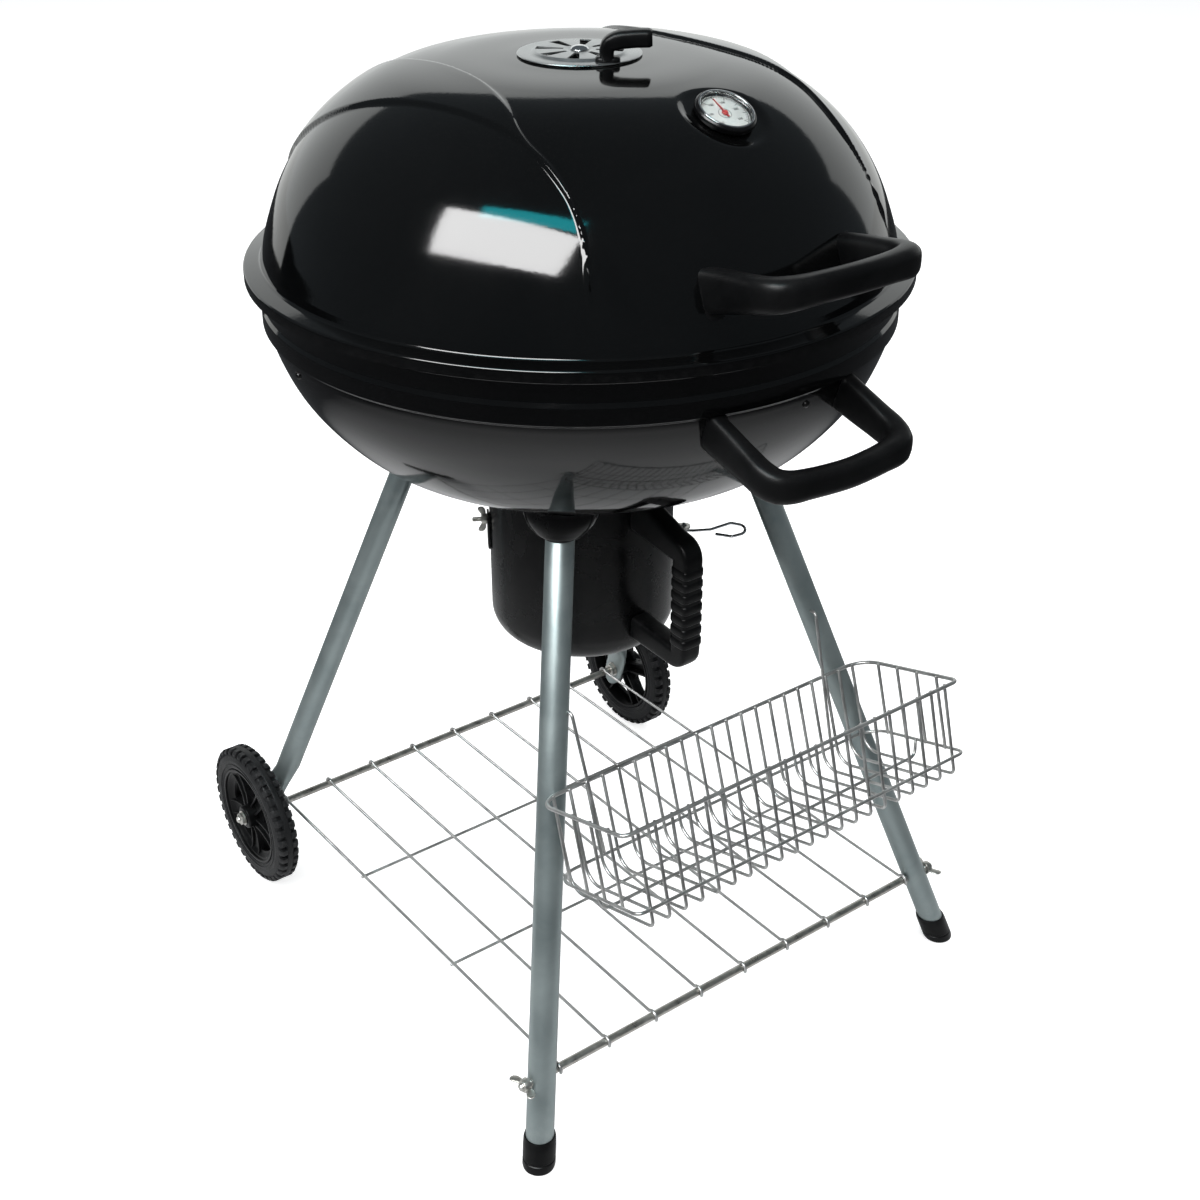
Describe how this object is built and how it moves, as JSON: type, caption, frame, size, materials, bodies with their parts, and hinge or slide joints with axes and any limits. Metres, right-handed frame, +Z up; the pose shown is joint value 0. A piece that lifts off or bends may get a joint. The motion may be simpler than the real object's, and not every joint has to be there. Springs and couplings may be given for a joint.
{
  "type": "kettle charcoal grill",
  "caption": "Round lidded charcoal grill on splayed tube legs with wheels, wire shelf, hanging wire basket, ash pot, thermometer and vents.",
  "frame": {"origin": "on the floor under the middle of the bowl", "axes": "+Z up; the handles, thermometer and basket face -Y; +X is to the right of someone standing at the handles and facing the grill"},
  "size_m": [0.602, 0.7033, 0.9474],
  "materials": {
    "black_enamel": "high-gloss black enamel",
    "black_plastic": "satin black heat-proof plastic",
    "wheel_tread": "matt black",
    "leg_paint": "satin silver-grey paint",
    "plated_wire": "plated wire",
    "chrome": "polished",
    "zinc_plate": "zinc plated",
    "damper_aluminium": "satin",
    "dial_face": "printed white",
    "dial_glass": "clear",
    "pointer_red": "red",
    "black_steel": "satin black"
  },
  "bodies": {
    "bowl": {"bowl_shell": "black_enamel", "bowl_handle": "black_plastic", "bowl_handle_bolt_left": "zinc_plate", "bowl_handle_bolt_right": "zinc_plate", "ash_pot_collar": "black_enamel", "pot_clip_left": "black_steel", "pot_clip_right": "black_steel", "pot_clip_stud_left": "zinc_plate", "pot_clip_stud_right": "zinc_plate", "pot_clip_wing_nut_left": "zinc_plate", "pot_clip_wing_nut_right": "zinc_plate", "grate_ledge_rear_right": "black_steel", "grate_ledge_rear_left": "black_steel", "grate_ledge_front_left": "black_steel", "grate_ledge_front_right": "black_steel", "leg_socket_front_left": "black_steel", "leg_socket_front_right": "black_steel", "leg_socket_rear_left": "black_steel", "leg_socket_rear_right": "black_steel", "leg_front_left": "leg_paint", "leg_front_right": "leg_paint", "leg_rear_left": "leg_paint", "leg_rear_right": "leg_paint", "foot_cap_front_left": "black_plastic", "foot_cap_front_right": "black_plastic", "front_cross_bar": "zinc_plate", "axle": "zinc_plate", "cross_bar_wing_nut_left": "zinc_plate", "cross_bar_wing_nut_right": "zinc_plate", "axle_inner_nut_left": "zinc_plate", "axle_inner_nut_right": "zinc_plate", "axle_end_nut_left": "zinc_plate", "axle_end_nut_right": "zinc_plate", "wire_shelf": "plated_wire"},
    "lid": {"lid_shell": "black_enamel", "lid_handle": "black_plastic", "lid_handle_bolt_left": "zinc_plate", "lid_handle_bolt_right": "zinc_plate", "damper_rivet": "damper_aluminium", "thermometer_case": "chrome", "thermometer_dial": "dial_face", "thermometer_glass": "dial_glass", "thermometer_stem": "chrome", "thermometer_nut": "zinc_plate"},
    "damper": {"damper_disc": "damper_aluminium", "damper_knob": "black_plastic"},
    "thermometer_pointer": {"thermometer_needle": "pointer_red"},
    "cooking_grate_body": {"cooking_grate": "plated_wire"},
    "charcoal_grate_body": {"charcoal_grate": "plated_wire"},
    "basket": {"wire_basket": "plated_wire"},
    "ash_pot_body": {"ash_pot": "black_enamel", "ash_pot_handle": "black_plastic"},
    "bottom_vent": {"vent_blades": "black_steel", "vent_arm": "zinc_plate", "vent_lever": "zinc_plate"},
    "wheel_left": {"tyre_left": "wheel_tread", "wheel_hub_left": "black_plastic"},
    "wheel_right": {"tyre_right": "wheel_tread", "wheel_hub_right": "black_plastic"}
  },
  "joints": [
    {"name": "lid_lift", "type": "slide", "parent": "bowl", "child": "lid", "axis": [0, 0, 1], "range_m": [0, 0.35]},
    {"name": "damper_turn", "type": "hinge", "parent": "lid", "child": "damper", "pos_m": [0, 0, 0.925], "axis": [0, 0, 1], "range_deg": [0, 22.5]},
    {"name": "pointer_turn", "type": "hinge", "parent": "lid", "child": "thermometer_pointer", "pos_m": [0.014, -0.175, 0.9002], "axis": [0, -0.4384, 0.8988], "range_deg": [-270, 0], "stiffness_Nm_per_rad": 0.001},
    {"name": "cooking_grate_lift", "type": "slide", "parent": "bowl", "child": "cooking_grate_body", "axis": [0, 0, 1], "range_m": [0, 0.02]},
    {"name": "charcoal_grate_lift", "type": "slide", "parent": "bowl", "child": "charcoal_grate_body", "axis": [0, 0, 1], "range_m": [0, 0.12]},
    {"name": "basket_unhook", "type": "slide", "parent": "bowl", "child": "basket", "axis": [0, -1, 0], "range_m": [0, 0.06]},
    {"name": "ash_pot_drop", "type": "slide", "parent": "bowl", "child": "ash_pot_body", "axis": [0, 0, -1], "range_m": [0, 0.15]},
    {"name": "vent_turn", "type": "hinge", "parent": "bowl", "child": "bottom_vent", "pos_m": [0, 0, 0.5], "axis": [0, 0, 1], "range_deg": [-20, 20]},
    {"name": "wheel_left_spin", "type": "hinge", "parent": "bowl", "child": "wheel_left", "pos_m": [-0.2625, 0.26062, 0.079], "axis": [1, 0, 0], "continuous": true},
    {"name": "wheel_right_spin", "type": "hinge", "parent": "bowl", "child": "wheel_right", "pos_m": [0.2625, 0.26062, 0.079], "axis": [1, 0, 0], "continuous": true}
  ]
}
